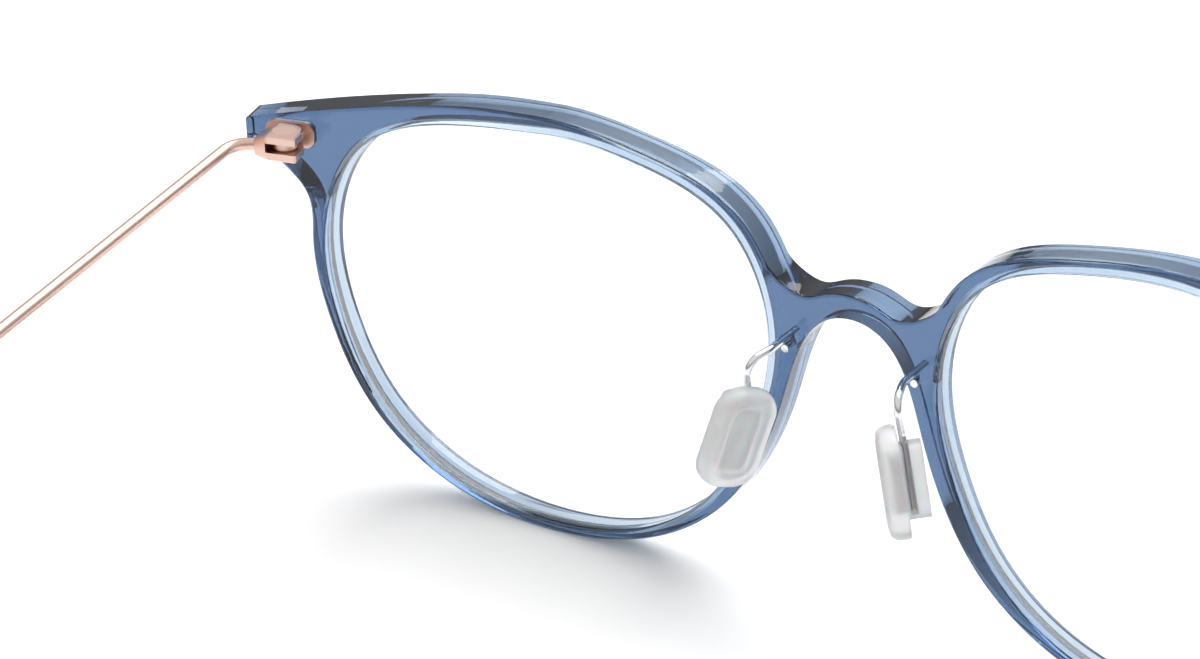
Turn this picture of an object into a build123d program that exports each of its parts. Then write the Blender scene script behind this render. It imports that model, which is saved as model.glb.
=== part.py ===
from build123d import *
import os
from math import asin, cos, degrees, radians, sin, sqrt

# Full-rim eyeglasses, open, standing on their lower rims and temple tips.
# +X is the wearer's left, the front faces -Y, the temples run to +Y and +Z is up.
# The origin is on the floor, in the middle of the width and of the depth. Millimetres.

# ---- Front ----
lens_width = 50.0
lens_height = 42.35
lens_gap = 18.2
end_reach = 8.75
front_thickness = 4.0
rim_edge_round = 0.3
flat_past_lens = 3.9
wrap_radius = 100.0

# Lens outline clockwise from the top, in shares of half its width and half its height,
# and how far the rim reaches beyond the lens opening at each of its places
LENS_POINTS = (
    (0, 1),
    (0.44, 0.932),
    (0.818, 0.752),
    (1.0, 0.289),
    (0.958, -0.185),
    (0.785, -0.622),
    (0.462, -0.915),
    (0, -1),
    (-0.446, -0.877),
    (-0.746, -0.592),
    (-0.93, -0.176),
    (-1.0, 0.292),
    (-0.828, 0.776),
    (-0.44, 0.965),
)
RIM_WIDTHS = (1.8, 2.05, 2.1, 1.45, 1.15, 1.15, 1.2, 1.15, 1.2, 1.65, 2.0, 1.9, 1.85, 1.45)
BROW_LEAVES, END_JOINS, NOSE_JOINS, SHOULDER_JOINS = 1, 3, 9, 12

# Bridge outline: distance inwards from the lens edge, drop below the top of the lens
crown_drop = 8.6
BRIDGE_TOP = ((3.8, 9.85), (0.7, 8.4))
arch_drop = 11.1
NOSE_ARCH = ((4.9, 13.1), (3.2, 16.2), (1.3, 22.4))

# End-piece outline, drawn on past its cut end: distance inwards from the end, drop below the top of the lens
END_TOP = (-0.45, 4.1)
END_FOOT = (-0.45, 6.35)
END_LOWER = ((3.35, 7.5), (5.75, 9.5))

# ---- Lenses ----
lens_thickness = 2.0
lens_bite = 0.6
groove_room = 0.1

# ---- Hinges ----
hinge_from_end = 6.3
hinge_drop = 4.8
plate_length = 5.2
plate_inner = 2.2
plate_height = 2.6
plate_thickness = 0.85
plate_inset = 0.4
plate_corner = 1.0
recess_margin = 0.12
anchor_length = 3.0
anchor_inner = 0.6
anchor_height = 1.5
anchor_depth = 2.1
pivot_standoff = 2.4
knuckle_radius = 1.25
knuckle_height = 0.7
neck_width = 1.8
bush_radius = 0.9
bush_flange_radius = 1.1
bush_flange = 0.12
fork_width = 3.5
fork_height = 2.7
fork_shoulder = 1.3
fork_reach = 3.1
fork_nose = 1.8
fork_edge = 0.15
fork_web = 1.5
pin_radius = 0.6
pin_head_radius = 1.25
pin_head_height = 0.3

# ---- Temples ----
wire_diameter = 1.3
wire_out = 5.8
wire_drop = 0.9
wire_socket = 1.2
wire_bend_radius = 1.9
wire_slope = 7.2
toe_in = 1.2
temple_straight = 92.0
ear_length = 46.0
ear_bend_radius = 38.0
tip_diameter = 3.0
tip_cover = 16.0
tip_mouth_round = 0.5
tip_end_wall = 3.0

# ---- Nose pads on wire arms ----
arm_diameter = 0.8
arm_inset = 2.2
arm_drop = 14.55
arm_leg_spacing = 1.05
arm_pocket_depth = 2.8
arm_stub_proud = 0.35
arm_reach = 6.5
pad_length = 10.6
pad_width = 6.2
pad_thickness = 2.0
pad_corner = 2.6
pad_face_round = 1.2
pad_back_round = 0.3
pad_axis = Vector(0.261, 0.151, -0.954).normalized()
pad_across = Vector(0.531, 0.803, 0.272).normalized()
pad_offset = 0.34
clip_length = 7.0
clip_gap = 0.9
clip_width = 3.2
clip_thickness = 2.1
clip_front_wall = 0.15
clip_mouth = 0.6
clip_floor = 0.6
clip_round = 0.7
boss_length = 5.2
boss_width = 2.2
boss_height = 0.9
boss_corner = 0.5

# ---- Clearances ----
running_clearance = 0.03
seat_clearance = 0.01

# ---- Places worked out from the sizes ----
lens_x = (lens_gap + lens_width) / 2
front_half = lens_gap / 2 + lens_width + end_reach
flat_half = lens_x + flat_past_lens
back_radius = wrap_radius - front_thickness
wire_radius = wire_diameter / 2
tip_radius = tip_diameter / 2
arm_radius = arm_diameter / 2
slot_height = knuckle_height + 2 * (bush_flange + running_clearance)
deep = front_thickness * 4

# The rim is drawn about the lens centre, then raised until its lowest point meets the floor
lens_shape = [(x * lens_width / 2, z * lens_height / 2) for x, z in LENS_POINTS]
lens_curve = Spline(*lens_shape, periodic=True)


def grown_shape(widths):
    """Points of the lens outline about its centre, each moved out by its own amount."""
    moved = []
    for point, width in zip(lens_shape, widths):
        heading = lens_curve.tangent_at(lens_curve.param_at_point(point))
        moved.append((point[0] - heading.Y * width, point[1] + heading.X * width))
    return moved


lens_z = -Spline(*grown_shape(RIM_WIDTHS), periodic=True).bounding_box().min.Y
lens_top = lens_z + lens_height / 2
rim_points = [(lens_x + x, lens_z + z) for x, z in grown_shape(RIM_WIDTHS)]
rim_curve = Spline(*rim_points, periodic=True)

# The ear piece falls from the end of the straight run until its tip meets the floor
hinge_z = lens_top - hinge_drop
ear_bend_z = hinge_z - wire_drop - temple_straight * sin(radians(wire_slope))
ear_fall = ear_bend_z - tip_radius
ear_run = sqrt(ear_length**2 - ear_fall**2)

# The end piece is turned back at the hinge, and the pivot stands off its back face
hinge_turn = asin((front_half - hinge_from_end - flat_half) / back_radius)
seat_depth = wrap_radius - back_radius * cos(hinge_turn)
corner_depth = seat_depth + pivot_standoff * cos(hinge_turn) + wire_out * sin(hinge_turn)
straight_depth = temple_straight * cos(radians(wire_slope)) * cos(radians(toe_in))
ear_depth = ear_run * cos(radians(toe_in))
front_y = -(corner_depth + straight_depth + ear_depth + tip_radius) / 2

front_plane = Plane(origin=(0, front_y, 0), x_dir=(1, 0, 0), z_dir=(0, -1, 0))
seat_point = Vector(front_half - hinge_from_end, front_y + seat_depth, hinge_z)
outward = Vector(cos(hinge_turn), sin(hinge_turn), 0)
away = Vector(-sin(hinge_turn), cos(hinge_turn), 0)
pivot = seat_point + away * pivot_standoff
# Seen from above, x runs outwards along the end piece and y away from it
hinge_plane = Plane(origin=pivot, x_dir=outward, z_dir=(0, 0, 1))
# Seen from in front, x runs outwards and y up, with the end piece's back face ahead
seat_plane = Plane(origin=seat_point, x_dir=outward, z_dir=-away)

os.makedirs("parts", exist_ok=True)


def write(part, name):
    """Label one finished piece and write it."""
    part.label = name
    export_step(part, f"parts/{name}.step")


def write_pair(part, name):
    """Write the wearer's-left piece and its mirror image."""
    write(part, f"{name}_left")
    write(mirror(part, about=Plane.YZ), f"{name}_right")


def closed_face(widths):
    """A face inside the lens outline, grown by the given amounts, in the active sketch."""
    with BuildLine() as outline:
        Spline(*[(lens_x + x, lens_z + z) for x, z in grown_shape(widths)], periodic=True)
    make_face(outline.edges())


def rim_heading(point):
    """Direction of the rim outline at one of its points, clockwise."""
    return rim_curve.tangent_at(rim_curve.param_at_point(point))


# ---- Front frame ----
brow_start = rim_points[BROW_LEAVES]
end_join = rim_points[END_JOINS]
shoulder_join = rim_points[SHOULDER_JOINS]
nose_join = rim_points[NOSE_JOINS]


def on_front(points):
    """Turn (distance inwards from the lens edge, drop) pairs into places on the front."""
    return [(lens_gap / 2 - inwards, lens_top - drop) for inwards, drop in points]


def at_end(points):
    """Turn (distance inwards from the end, drop) pairs into places on the front."""
    return [(front_half - inwards, lens_top - drop) for inwards, drop in points]


def front_outline():
    """The outline of the front without its lens openings, in the active sketch."""
    crown = (0, lens_top - crown_drop)
    arch = (0, lens_top - arch_drop)
    end_top, foot = at_end([END_TOP, END_FOOT])
    closed_face(RIM_WIDTHS)
    with BuildLine() as bridge:
        Spline(crown, *on_front(BRIDGE_TOP), shoulder_join, tangents=[(1, 0), rim_heading(shoulder_join)])
        Line(shoulder_join, nose_join)
        nose_side = reversed(on_front(NOSE_ARCH))
        Spline(nose_join, *nose_side, arch, tangents=[rim_heading(nose_join), (-1, 0)])
        Line(arch, crown)
    make_face(bridge.edges())
    with BuildLine() as brow:
        TangentArc(brow_start, end_top, tangent=rim_heading(brow_start))
        Line(end_top, foot)
        Spline(foot, *at_end(END_LOWER), end_join, tangents=[(-1, -0.25), rim_heading(end_join)])
        Line(end_join, brow_start)
    make_face(brow.edges())
    mirror(about=Plane.YZ)


def front_band():
    """Plan of the front: flat across the bridge and lenses, curved back at both ends."""
    sweep_angle = degrees(asin((front_half - flat_half) / wrap_radius))
    centre_y = front_y + wrap_radius
    reach = Vector(sin(radians(sweep_angle)), -cos(radians(sweep_angle)))
    with BuildLine() as plan:
        for radius in (wrap_radius, back_radius):
            for side in (1, -1):
                start = 270 if side == 1 else 270 - sweep_angle
                CenterArc((side * flat_half, centre_y), radius, start, sweep_angle)
            Line((-flat_half, centre_y - radius), (flat_half, centre_y - radius))
        for side in (1, -1):
            near = (side * (flat_half + reach.X * wrap_radius), centre_y + reach.Y * wrap_radius)
            far = (side * (flat_half + reach.X * back_radius), centre_y + reach.Y * back_radius)
            Line(near, far)
    make_face(plan.edges())


def middle_depth(x):
    """Y of the middle of the front's thickness at a given place along its width."""
    middle_radius = wrap_radius - front_thickness / 2
    past = max(0, x - flat_half)
    return front_y + wrap_radius - sqrt(middle_radius**2 - past**2)


# The lens follows the middle of the front at both its edges and its centre
lens_marks = [lens_x - lens_width / 2, lens_x, lens_x + lens_width / 2]
lens_arc = ThreePointArc(*[(x, middle_depth(x)) for x in lens_marks])


def lens_band(thickness):
    """Plan of a slab of the given thickness along the lens curve, in the active sketch."""
    centre = lens_arc.arc_center
    half_turn = degrees(asin(lens_width / lens_arc.radius))
    outer_radius = lens_arc.radius + thickness / 2
    inner_radius = lens_arc.radius - thickness / 2
    with BuildLine() as plan:
        outer = CenterArc(centre, outer_radius, 270 - half_turn, 2 * half_turn)
        inner = CenterArc(centre, inner_radius, 270 - half_turn, 2 * half_turn)
        Line(outer @ 0, inner @ 0)
        Line(outer @ 1, inner @ 1)
    make_face(plan.edges())


def lens_slab(beyond_edge, thickness):
    """A curved slab with the lens outline, as a solid outside any part."""
    with BuildPart() as slab:
        with BuildSketch(front_plane.offset(deep)):
            closed_face([beyond_edge] * len(LENS_POINTS))
        extrude(amount=-3 * deep)
        with BuildSketch(Plane.XY):
            lens_band(thickness)
        extrude(amount=2 * lens_top, mode=Mode.INTERSECT)
    return slab.part


lens_groove = lens_slab(lens_bite + groove_room, lens_thickness + 2 * running_clearance)

# The arms are bent from wire: a hairpin pressed into the frame, a reach back, then the pad's axle
arm_x = lens_gap / 2 - arm_inset
arm_z = lens_top - arm_drop
hairpin_y = front_y + front_thickness - arm_pocket_depth
axle_top = Vector(arm_x + 1.35, front_y + 8.8, arm_z - 3.75)
ARM_BENDS = (arm_leg_spacing / 2 - 0.01, arm_leg_spacing / 2 - 0.01, 3.5, 1.6, 1.2)
arm_points = [
    (arm_x, front_y + front_thickness + arm_stub_proud, arm_z - arm_leg_spacing),
    (arm_x, hairpin_y, arm_z - arm_leg_spacing),
    (arm_x, hairpin_y, arm_z),
    (arm_x, front_y + arm_reach, arm_z),
    (arm_x + 1.0, front_y + 9.4, arm_z - 0.5),
    tuple(axle_top),
    tuple(axle_top + pad_axis * (clip_gap + clip_length - clip_floor - running_clearance)),
]

# A nose pad's frame: x across it, y down its length, z out of the face that meets the nose
pad_face = pad_across.cross(pad_axis).normalized()
axle_standoff = arm_radius + running_clearance + clip_front_wall
clip_middle = axle_top + pad_axis * (clip_gap + clip_length / 2)
clip_plane = Plane(origin=clip_middle, x_dir=pad_across, z_dir=pad_face)
pad_middle = clip_middle + pad_face * axle_standoff + pad_across * pad_offset
pad_plane = Plane(origin=pad_middle, x_dir=pad_across, z_dir=pad_face)

with BuildPart() as front_frame:
    with BuildSketch(front_plane):
        front_outline()
    extrude(amount=-deep)
    with BuildSketch(Plane.XY):
        front_band()
    extrude(amount=2 * lens_top, mode=Mode.INTERSECT)
    with BuildSketch(front_plane):
        closed_face([0] * len(LENS_POINTS))
        mirror(about=Plane.YZ)
    extrude(amount=-deep, mode=Mode.SUBTRACT)
    fillet(front_frame.edges().filter_by(Axis.Y, reverse=True), rim_edge_round)
    add(lens_groove, mode=Mode.SUBTRACT)
    add(mirror(lens_groove, about=Plane.YZ), mode=Mode.SUBTRACT)

# Seats in the frame's back face: a shallow recess and a pocket for each hinge, a slot for each arm
with BuildPart() as front_seats:
    with BuildSketch(seat_plane.offset(plate_inset)):
        with Locations((plate_length / 2 - plate_inner, 0)):
            size = (plate_length + 2 * recess_margin, plate_height + 2 * recess_margin)
            RectangleRounded(*size, plate_corner + recess_margin)
    extrude(amount=-front_thickness)
    with BuildSketch(seat_plane.offset(plate_inset + anchor_depth + seat_clearance)):
        with Locations((anchor_length / 2 - anchor_inner, 0)):
            Rectangle(anchor_length + 2 * seat_clearance, anchor_height + 2 * seat_clearance)
    extrude(amount=-front_thickness)
    with BuildSketch(front_plane.offset(-front_thickness + arm_pocket_depth + arm_radius + seat_clearance)):
        with Locations((arm_x, arm_z - arm_leg_spacing / 2)):
            slot_width = arm_diameter + 2 * seat_clearance
            SlotCenterToCenter(arm_leg_spacing, slot_width, rotation=90)
    extrude(amount=-front_thickness)
    mirror(about=Plane.YZ)
front_frame.part = front_frame.part - front_seats.part
write(front_frame.part, "front_frame")

# ---- Lenses ----
write_pair(lens_slab(lens_bite, lens_thickness), "lens")

# ---- Hinge plates: plate, anchor in the frame, neck and one knuckle ----
plate_face = plate_thickness - plate_inset
with BuildPart() as hinge_plate:
    with BuildSketch(seat_plane.offset(plate_inset)):
        with Locations((plate_length / 2 - plate_inner, 0)):
            RectangleRounded(plate_length, plate_height, plate_corner)
    extrude(amount=-plate_thickness)
    with BuildSketch(seat_plane.offset(plate_inset)):
        with Locations((anchor_length / 2 - anchor_inner, 0)):
            Rectangle(anchor_length, anchor_height)
    extrude(amount=anchor_depth)
    with BuildSketch(hinge_plane.offset(-knuckle_height / 2)):
        Circle(knuckle_radius)
        with Locations((0, (plate_face - pivot_standoff) / 2)):
            Rectangle(neck_width, pivot_standoff - plate_face)
    extrude(amount=knuckle_height)
    with BuildSketch(hinge_plane):
        Circle(bush_radius + seat_clearance)
    extrude(amount=fork_height, both=True, mode=Mode.SUBTRACT)
write_pair(hinge_plate.part, "hinge_plate")

# ---- Bearing bushes: a sleeve in the knuckle with a thrust flange at each end ----
with BuildPart() as hinge_bush:
    with BuildSketch(hinge_plane):
        Circle(bush_radius)
    extrude(amount=knuckle_height / 2 + bush_flange, both=True)
    for side in (1, -1):
        with BuildSketch(hinge_plane.offset(side * knuckle_height / 2)):
            Circle(bush_flange_radius)
        extrude(amount=side * bush_flange)
    with BuildSketch(hinge_plane):
        Circle(pin_radius + running_clearance)
    extrude(amount=fork_height, both=True, mode=Mode.SUBTRACT)
write_pair(hinge_bush.part, "hinge_bush")

# ---- Temple forks: a slotted block that tapers to the wire, which leaves it falling ----
fork_half = fork_width / 2
fork_top = fork_height / 2
fall = wire_drop / wire_out
nose_middle = -fork_reach * fall
socket_start = fork_reach - wire_socket
side_plane = Plane(origin=pivot, x_dir=outward, z_dir=-away)
leg_way = (outward * wire_out - Vector(0, 0, wire_drop)).normalized()
wire_start = pivot + leg_way * (socket_start + seat_clearance)
with BuildPart() as temple_fork:
    for plane, half, middle in ((hinge_plane, fork_half, 0), (side_plane, fork_top, nose_middle)):
        with BuildSketch(plane):
            with BuildLine():
                Polyline(
                    (-fork_half, -half),
                    (fork_shoulder, -half),
                    (fork_reach, max(middle - fork_nose / 2, -half)),
                    (fork_reach, middle + fork_nose / 2),
                    (fork_shoulder, half),
                    (-fork_half, half),
                    close=True,
                )
            make_face()
        extrude(amount=fork_half, both=True, mode=Mode.ADD if middle == 0 else Mode.INTERSECT)
    plate_side_corner = hinge_plane.from_local_coords((-fork_half, -fork_half, 0))
    fillet(temple_fork.edges().filter_by(Axis.Z).sort_by_distance(plate_side_corner)[0], fork_half)
    chamfer(temple_fork.edges().filter_by(lambda edge: edge.length > 3 * fork_edge), fork_edge)
    with BuildSketch(hinge_plane):
        with Locations((fork_web - fork_reach, 0)):
            Rectangle(2 * fork_reach, 2 * fork_reach)
    extrude(amount=slot_height / 2, both=True, mode=Mode.SUBTRACT)
    with BuildSketch(hinge_plane):
        Circle(pin_radius + seat_clearance)
    extrude(amount=fork_height, both=True, mode=Mode.SUBTRACT)
    for side in (1, -1):
        with BuildSketch(hinge_plane.offset(side * (fork_top - pin_head_height - seat_clearance))):
            Circle(pin_head_radius + seat_clearance)
        extrude(amount=side * fork_height, mode=Mode.SUBTRACT)
    with BuildSketch(Plane(origin=pivot + leg_way * socket_start, x_dir=away, z_dir=leg_way)):
        Circle(wire_radius + seat_clearance)
    extrude(amount=2 * fork_reach, mode=Mode.SUBTRACT)
write_pair(temple_fork.part, "temple_fork")

# ---- Hinge pins, with a flush head at each end ----
with BuildPart() as hinge_pin:
    with BuildSketch(hinge_plane):
        Circle(pin_radius)
    extrude(amount=fork_top, both=True)
    for side in (1, -1):
        with BuildSketch(hinge_plane.offset(side * (fork_top - pin_head_height))):
            Circle(pin_head_radius)
        extrude(amount=side * pin_head_height)
write_pair(hinge_pin.part, "hinge_pin")

# ---- Temple wires ----
wire_corner = pivot + outward * wire_out - Vector(0, 0, wire_drop)
run = Vector(-sin(radians(toe_in)), cos(radians(toe_in)), 0)
ear_bend = wire_corner + run * (temple_straight * cos(radians(wire_slope)))
ear_bend = ear_bend + Vector(0, 0, ear_bend_z - wire_corner.Z)
tip_end = ear_bend + run * ear_run - Vector(0, 0, ear_fall)
ear_way = (tip_end - ear_bend).normalized()
straight_way = (ear_bend - wire_corner).normalized()
wire_end = tip_end - ear_way * tip_end_wall
tip_mouth = ear_bend - straight_way * tip_cover

with BuildPart() as temple_wire:
    with BuildLine() as wire_path:
        wire_bends = [wire_bend_radius, ear_bend_radius]
        FilletPolyline(wire_start, wire_corner, ear_bend, wire_end, radius=wire_bends)
    with BuildSketch(Plane(origin=wire_path.line @ 0, z_dir=wire_path.line % 0)):
        Circle(wire_radius)
    sweep()
write_pair(temple_wire.part, "temple_wire")

# ---- Temple tips: soft sleeves over the ear pieces ----
with BuildPart() as temple_tip:
    with BuildLine() as tip_path:
        FilletPolyline(tip_mouth, ear_bend, tip_end, radius=ear_bend_radius)
    with BuildSketch(Plane(origin=tip_path.line @ 0, z_dir=tip_path.line % 0)):
        Circle(tip_radius)
    sweep()
    fillet(temple_tip.edges().sort_by(Axis.Y)[0], tip_mouth_round)
    with Locations(tip_end):
        Sphere(tip_radius)
    with BuildLine() as bore_path:
        FilletPolyline(tip_mouth, ear_bend, wire_end + ear_way * seat_clearance, radius=ear_bend_radius)
    with BuildSketch(Plane(origin=bore_path.line @ 0, z_dir=bore_path.line % 0)):
        Circle(wire_radius + seat_clearance)
    sweep(mode=Mode.SUBTRACT)
write_pair(temple_tip.part, "temple_tip")

# ---- Nose-pad arms ----
with BuildPart() as pad_arm:
    with BuildLine() as arm_path:
        FilletPolyline(*arm_points, radius=ARM_BENDS)
    with BuildSketch(Plane(origin=arm_path.line @ 0, z_dir=arm_path.line % 0)):
        Circle(arm_radius)
    sweep()
write_pair(pad_arm.part, "pad_arm")

# ---- Pad clips: a block with a side-open channel for the arm and a boss for the soft pad ----
channel_radius = arm_radius + running_clearance
with BuildPart() as pad_clip:
    with BuildSketch(clip_plane.offset(axle_standoff - clip_thickness)):
        Rectangle(clip_width, clip_length)
    extrude(amount=clip_thickness)
    fillet(pad_clip.edges().filter_by(Axis(clip_middle, pad_face)), clip_round)
    with BuildSketch(pad_plane):
        RectangleRounded(boss_width, boss_length, boss_corner)
    extrude(amount=boss_height)
    with BuildSketch(Plane(origin=clip_middle - pad_axis * clip_length, x_dir=pad_across, z_dir=pad_axis)):
        Circle(channel_radius)
        with Locations((clip_width / 2, 0)):
            Rectangle(clip_width, clip_mouth)
    extrude(amount=clip_length * 1.5 - clip_floor, mode=Mode.SUBTRACT)
write_pair(pad_clip.part, "pad_clip")

# ---- Soft nose pads moulded over the clips' bosses ----
with BuildPart() as nose_pad:
    with BuildSketch(pad_plane):
        RectangleRounded(pad_width, pad_length, pad_corner)
    extrude(amount=pad_thickness)
    faces = nose_pad.faces().sort_by(Axis(pad_plane.origin, pad_face))
    fillet(faces[0].edges(), pad_back_round)
    fillet(faces[-1].edges(), pad_face_round)
    with BuildSketch(pad_plane):
        pocket = (boss_width + 2 * seat_clearance, boss_length + 2 * seat_clearance)
        RectangleRounded(*pocket, boss_corner + seat_clearance)
    extrude(amount=boss_height + seat_clearance, mode=Mode.SUBTRACT)
write_pair(nose_pad.part, "nose_pad")
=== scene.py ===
from math import cos, radians, sin

import bmesh
import bpy
from mathutils import Matrix, Vector

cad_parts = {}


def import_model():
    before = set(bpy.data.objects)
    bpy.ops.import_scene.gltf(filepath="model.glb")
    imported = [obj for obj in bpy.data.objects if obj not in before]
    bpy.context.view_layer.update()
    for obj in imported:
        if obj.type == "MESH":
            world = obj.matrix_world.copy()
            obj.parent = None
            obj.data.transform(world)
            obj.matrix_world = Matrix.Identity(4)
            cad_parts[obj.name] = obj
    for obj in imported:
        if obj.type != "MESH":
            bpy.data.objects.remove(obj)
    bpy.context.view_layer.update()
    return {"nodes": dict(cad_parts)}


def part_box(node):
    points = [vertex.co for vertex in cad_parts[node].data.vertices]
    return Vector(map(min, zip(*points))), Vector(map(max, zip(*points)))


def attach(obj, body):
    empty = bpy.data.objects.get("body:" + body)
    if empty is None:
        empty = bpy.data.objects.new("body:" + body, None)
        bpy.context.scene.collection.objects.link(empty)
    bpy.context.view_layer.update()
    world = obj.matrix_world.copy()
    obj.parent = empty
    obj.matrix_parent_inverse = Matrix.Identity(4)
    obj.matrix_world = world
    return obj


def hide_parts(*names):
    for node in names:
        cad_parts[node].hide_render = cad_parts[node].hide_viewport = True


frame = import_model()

nodes = frame["nodes"]
front_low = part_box("front_frame")[0]
MM = 0.001


# ---- Node helpers ----
def new_material(name):
    """An empty node material and a small helper that adds nodes to it."""
    material = bpy.data.materials.new(name)
    material.use_nodes = True
    tree = material.node_tree
    tree.nodes.clear()
    output = tree.nodes.new("ShaderNodeOutputMaterial")

    def add(kind, links=None, **values):
        node = tree.nodes.new(kind)
        for key, value in values.items():
            if hasattr(node, key):
                setattr(node, key, value)
            else:
                node.inputs[key.replace("_", " ")].default_value = value
        for socket, source in (links or {}).items():
            tree.links.new(source, node.inputs[socket])
        return node

    return material, add, output, tree


def use(material, *names):
    """Give CAD nodes a material in place of their own."""
    for name in names:
        for one in nodes[name].material_slots:
            one.material = material


def both(name):
    return [f"{name}_left", f"{name}_right"]


# ---- Materials ----
def plastic():
    """Polished transparent blue plastic, its colour taken up along the light's way through it."""
    material, add, output, tree = new_material("blue_plastic")
    place = add("ShaderNodeTexCoord")
    cloud = add("ShaderNodeTexNoise", {"Vector": place.outputs["Object"]}, Scale=60.0, Detail=3.0)
    tint = add("ShaderNodeValToRGB", {"Fac": cloud.outputs["Fac"]})
    tint.color_ramp.elements[0].color = (0.84, 0.90, 0.95, 1)
    tint.color_ramp.elements[1].color = (0.90, 0.94, 0.97, 1)
    fine = add("ShaderNodeTexNoise", {"Vector": place.outputs["Object"]}, Scale=900.0, Detail=2.0)
    bump = add("ShaderNodeBump", {"Height": fine.outputs["Fac"]}, Strength=0.015, Distance=0.0002)
    shader = add(
        "ShaderNodeBsdfPrincipled",
        {"Base Color": tint.outputs["Color"], "Normal": bump.outputs["Normal"]},
        Roughness=0.02,
        IOR=1.49,
        Transmission_Weight=1.0,
    )
    depth = add("ShaderNodeVolumeAbsorption", Color=(0.20, 0.38, 0.58, 1), Density=680.0)
    tree.links.new(shader.outputs["BSDF"], output.inputs["Surface"])
    tree.links.new(depth.outputs["Volume"], output.inputs["Volume"])
    return material


def lens_glass():
    """Clear lens whose ground edge is frosted white, seen through the rim that holds it."""
    material, add, output, tree = new_material("lens_clear")
    place = add("ShaderNodeTexCoord")
    cloud = add("ShaderNodeTexNoise", {"Vector": place.outputs["Object"]}, Scale=20.0)
    tint = add("ShaderNodeValToRGB", {"Fac": cloud.outputs["Fac"]})
    tint.color_ramp.elements[0].color = (0.985, 0.995, 0.99, 1)
    tint.color_ramp.elements[1].color = (1.0, 1.0, 1.0, 1)
    clear = add(
        "ShaderNodeBsdfPrincipled",
        {"Base Color": tint.outputs["Color"]},
        Roughness=0.0,
        IOR=1.45,
        Transmission_Weight=1.0,
    )
    grind = add("ShaderNodeTexNoise", {"Vector": place.outputs["Object"]}, Scale=2500.0, Detail=3.0)
    ground = add("ShaderNodeValToRGB", {"Fac": grind.outputs["Fac"]})
    ground.color_ramp.elements[0].color = (0.66, 0.66, 0.67, 1)
    ground.color_ramp.elements[1].color = (0.82, 0.82, 0.82, 1)
    frosted = add(
        "ShaderNodeBsdfPrincipled",
        {"Base Color": ground.outputs["Color"]},
        Roughness=0.6,
        IOR=1.5,
        Transmission_Weight=0.25,
    )
    axes = add("ShaderNodeSeparateXYZ", {"Vector": place.outputs["Normal"]})
    facing = add("ShaderNodeMath", {0: axes.outputs["Y"]}, operation="ABSOLUTE")
    edge = add("ShaderNodeMath", {0: facing.outputs["Value"]}, operation="LESS_THAN")
    edge.inputs[1].default_value = 0.5
    mix = add("ShaderNodeMixShader", {"Fac": edge.outputs["Value"]})
    tree.links.new(clear.outputs["BSDF"], mix.inputs[1])
    tree.links.new(frosted.outputs["BSDF"], mix.inputs[2])
    tree.links.new(mix.outputs["Shader"], output.inputs["Surface"])
    return material


def metal(name, colour, roughness, grain=1.0):
    """Satin metal with fine grain and slightly uneven polish."""
    material, add, output, tree = new_material(name)
    place = add("ShaderNodeTexCoord")
    cloud = add("ShaderNodeTexNoise", {"Vector": place.outputs["Object"]}, Scale=120.0, Detail=2.0)
    shade = add("ShaderNodeMix", {"Factor": cloud.outputs["Fac"]}, data_type="RGBA")
    shade.inputs[6].default_value = (*[c * 0.95 for c in colour], 1)
    shade.inputs[7].default_value = (*colour, 1)
    rough = add("ShaderNodeMapRange", {"Value": cloud.outputs["Fac"]})
    rough.inputs["To Min"].default_value = roughness * 0.93
    rough.inputs["To Max"].default_value = roughness * 1.07
    fine = add("ShaderNodeTexNoise", {"Vector": place.outputs["Object"]}, Scale=5000.0, Detail=2.0)
    bump = add("ShaderNodeBump", {"Height": fine.outputs["Fac"]}, Strength=0.008 * grain, Distance=0.00001)
    shader = add(
        "ShaderNodeBsdfPrincipled",
        {
            "Base Color": shade.outputs[2],
            "Roughness": rough.outputs["Result"],
            "Normal": bump.outputs["Normal"],
        },
        Metallic=1.0,
    )
    tree.links.new(shader.outputs["BSDF"], output.inputs["Surface"])
    return material


def silicone(name, colour, roughness):
    """Frosted translucent silicone."""
    material, add, output, tree = new_material(name)
    place = add("ShaderNodeTexCoord")
    cloud = add("ShaderNodeTexNoise", {"Vector": place.outputs["Object"]}, Scale=300.0, Detail=3.0)
    shade = add("ShaderNodeMix", {"Factor": cloud.outputs["Fac"]}, data_type="RGBA")
    shade.inputs[6].default_value = (*[c * 0.97 for c in colour], 1)
    shade.inputs[7].default_value = (*colour, 1)
    fine = add("ShaderNodeTexNoise", {"Vector": place.outputs["Object"]}, Scale=6000.0, Detail=2.0)
    bump = add("ShaderNodeBump", {"Height": fine.outputs["Fac"]}, Strength=0.1, Distance=0.00003)
    shader = add(
        "ShaderNodeBsdfPrincipled",
        {"Base Color": shade.outputs[2], "Normal": bump.outputs["Normal"]},
        Roughness=roughness,
        IOR=1.41,
        Transmission_Weight=0.55,
        Subsurface_Weight=0.6,
        Subsurface_Scale=0.002,
    )
    tree.links.new(shader.outputs["BSDF"], output.inputs["Surface"])
    return material


use(plastic(), "front_frame")
use(lens_glass(), *both("lens"))
use(metal("rose_titanium", (0.76, 0.53, 0.45), 0.30), *both("temple_fork"), *both("temple_wire"))
use(metal("rose_plate", (0.72, 0.50, 0.43), 0.40, 2.0), *both("hinge_plate"))
use(metal("rose_pin", (0.60, 0.42, 0.37), 0.44, 2.0), *both("hinge_pin"))
# The hinge bush's brown is partly its bronze and partly painted shade: its colour is darkened to stand in
# for the shade inside the hinge slot.
use(metal("bush_bronze", (0.55, 0.38, 0.20), 0.35), *both("hinge_bush"))
use(metal("arm_steel", (0.80, 0.80, 0.81), 0.12, 0.3), *both("pad_arm"))
pad_finish = silicone("pad_silicone", (0.93, 0.94, 0.95), 0.30)
use(pad_finish, *both("nose_pad"))
use(silicone("clip_plastic", (0.88, 0.89, 0.90), 0.30), *both("pad_clip"))
use(silicone("tip_silicone", (0.72, 0.76, 0.82), 0.45), *both("temple_tip"))


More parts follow.
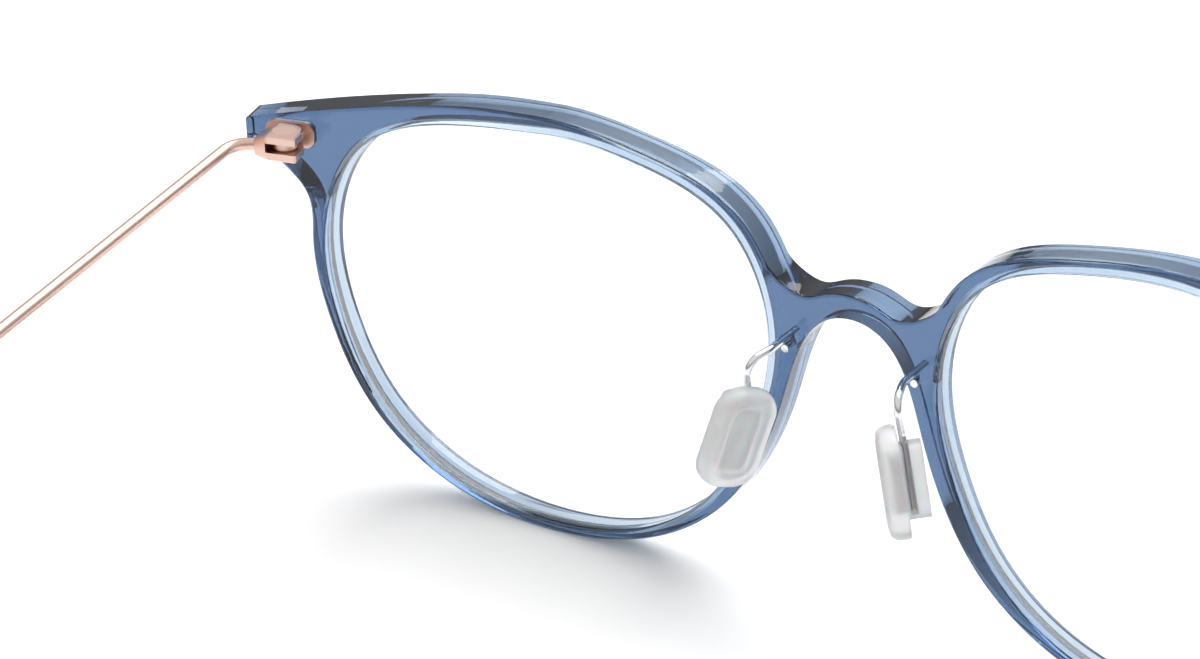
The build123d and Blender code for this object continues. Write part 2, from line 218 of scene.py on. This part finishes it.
# ---- Soft nose pads ----
LOOP_POINTS = 96
# From the back, round the side and over to the dished face:
# (millimetres in from the pad's edge, depth as a share of the thickness)
PAD_SIDE = ((0.35, 0.0), (0.10, 0.03), (0.0, 0.15), (0.0, 0.45), (0.12, 0.70), (0.35, 0.87), (0.70, 0.96))
PAD_FACE = ((1.10, 1.0), (1.35, 0.97), (1.60, 0.90), (1.85, 0.87), (2.20, 0.87), (2.60, 0.89))
PAD_CORNER = 2.6
LEAST_CORNER = 0.3
# The pocket over the clip's boss: half its width, half its length, its corner and its depth
POCKET_SIZE = (1.11, 2.61, 0.51)
POCKET_DEPTH = 0.91
MERGE_DISTANCE = 0.000001
pad_axis = Vector((0.261, 0.151, -0.954)).normalized()
pad_across = Vector((0.531, 0.803, 0.272)).normalized()


def rounded_loop(half_width, half_length, corner):
    """Points of a rounded rectangle, a quarter turn for each corner."""
    points = []
    quarter = LOOP_POINTS // 4
    for turn, side_x, side_y in ((0, 1, 1), (1, -1, 1), (2, -1, -1), (3, 1, -1)):
        for step in range(quarter):
            angle = radians(90 * (turn + step / (quarter - 1)))
            x = side_x * (half_width - corner) + corner * cos(angle)
            y = side_y * (half_length - corner) + corner * sin(angle)
            points.append((x, y))
    return points


def nose_pad(side, mirrored):
    """A crowned soft pad with a shallow dish in its face, in the place of its CAD solid."""
    flip = Vector((mirrored, 1, 1))
    down = pad_axis * flip
    across = pad_across * flip
    face = pad_across.cross(pad_axis).normalized() * flip
    cad = [v.co for v in nodes[f"nose_pad_{side}"].data.vertices]
    spans = []
    for way in (across, down, face):
        reach = [point.dot(way) for point in cad]
        spans.append((min(reach), max(reach)))
    half_width, half_length = [(top - bottom) / 2 for bottom, top in spans[:2]]
    middle_x, middle_y = [(top + bottom) / 2 for bottom, top in spans[:2]]
    back, thickness = spans[2][0], spans[2][1] - spans[2][0]
    pocket = [size * MM for size in POCKET_SIZE]
    loops = [(*pocket, POCKET_DEPTH * MM), (*pocket, 0.0)]
    for inset, depth in (*PAD_SIDE, *PAD_FACE):
        corner = max(PAD_CORNER - inset, LEAST_CORNER) * MM
        inset *= MM
        loops.append((half_width - inset, half_length - inset, corner, depth * thickness))
    shape = bmesh.new()
    rings = []
    for wide, long, corner, depth in loops:
        ring = []
        for x, y in rounded_loop(wide, long, corner):
            place = across * (middle_x + x) + down * (middle_y + y) + face * (back + depth)
            ring.append(shape.verts.new(place))
        rings.append(ring)
    for ring, after in zip(rings, rings[1:]):
        for one in range(LOOP_POINTS):
            following = (one + 1) % LOOP_POINTS
            shape.faces.new((ring[one], ring[following], after[following], after[one]))
    shape.faces.new(rings[0])
    shape.faces.new(rings[-1])
    bmesh.ops.remove_doubles(shape, verts=shape.verts, dist=MERGE_DISTANCE)
    bmesh.ops.recalc_face_normals(shape, faces=shape.faces)
    for one in shape.faces:
        one.smooth = len(one.verts) == 4
    mesh = bpy.data.meshes.new(f"soft_pad_{side}")
    shape.to_mesh(mesh)
    shape.free()
    mesh.materials.append(pad_finish)
    pad = bpy.data.objects.new(f"soft_pad_{side}", mesh)
    bpy.context.scene.collection.objects.link(pad)
    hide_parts(f"nose_pad_{side}")
    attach(pad, f"pad_{side}")


nose_pad("left", 1)
nose_pad("right", -1)


# ---- Floor, light and camera ----
def floor():
    mesh = bpy.data.meshes.new("floor")
    shape = bmesh.new()
    bmesh.ops.create_grid(shape, x_segments=1, y_segments=1, size=6.0)
    shape.to_mesh(mesh)
    shape.free()
    plane = bpy.data.objects.new("floor", mesh)
    bpy.context.scene.collection.objects.link(plane)
    material, add, output, tree = new_material("white_floor")
    shader = add("ShaderNodeBsdfPrincipled", Base_Color=(0.93, 0.93, 0.93, 1), Roughness=0.7)
    tree.links.new(shader.outputs["BSDF"], output.inputs["Surface"])
    mesh.materials.append(material)


def soft_box(name, place, aim, size, power, colour=(1, 1, 1)):
    data = bpy.data.lights.new(name, "AREA")
    data.shape = "RECTANGLE"
    data.size, data.size_y = size
    data.energy = power
    data.color = colour
    lamp = bpy.data.objects.new(name, data)
    lamp.location = place
    lamp.rotation_euler = (Vector(aim) - Vector(place)).to_track_quat("-Z", "Y").to_euler()
    bpy.context.scene.collection.objects.link(lamp)


def world():
    sky = bpy.data.worlds.new("studio")
    sky.use_nodes = True
    tree = sky.node_tree
    background = tree.nodes["Background"]
    place = tree.nodes.new("ShaderNodeTexCoord")
    axes = tree.nodes.new("ShaderNodeSeparateXYZ")
    rise = tree.nodes.new("ShaderNodeValToRGB")
    rise.color_ramp.elements[0].position = 0.0
    rise.color_ramp.elements[0].color = (0.22, 0.23, 0.25, 1)
    rise.color_ramp.elements[1].position = 0.55
    rise.color_ramp.elements[1].color = (1, 1, 1, 1)
    tree.links.new(place.outputs["Generated"], axes.inputs["Vector"])
    tree.links.new(axes.outputs["Z"], rise.inputs["Fac"])
    tree.links.new(rise.outputs["Color"], background.inputs["Color"])
    background.inputs["Strength"].default_value = 0.85
    bpy.context.scene.world = sky


def camera():
    """Behind and above the wearer's right, as the photograph is taken."""
    azimuth, elevation, roll = radians(214.086), radians(26.993), radians(-1.667)
    distance = 0.38349
    focal_share = 3.2598
    back = Vector((sin(azimuth) * cos(elevation), -cos(azimuth) * cos(elevation), sin(elevation)))
    level = Vector((cos(azimuth), sin(azimuth), 0))
    upright = back.cross(level)
    right = level * cos(roll) + upright * sin(roll)
    up = upright * cos(roll) - level * sin(roll)
    target = Vector((30.60 * MM, front_low.y, 21.923 * MM))
    data = bpy.data.cameras.new("camera")
    data.sensor_width = 36.0
    data.lens = data.sensor_width * focal_share
    data.clip_start, data.clip_end = 0.01, 50.0
    eye = bpy.data.objects.new("camera", data)
    turn = Matrix((right, up, back)).transposed()
    eye.matrix_world = Matrix.Translation(target + back * distance) @ turn.to_4x4()
    bpy.context.scene.collection.objects.link(eye)
    bpy.context.scene.camera = eye


floor()
soft_box("key", (0.0, -0.42, 0.80), (0.02, -0.05, 0.0), (0.8, 0.8), 7.5)
world()
camera()
bpy.context.scene.view_settings.view_transform = "Standard"
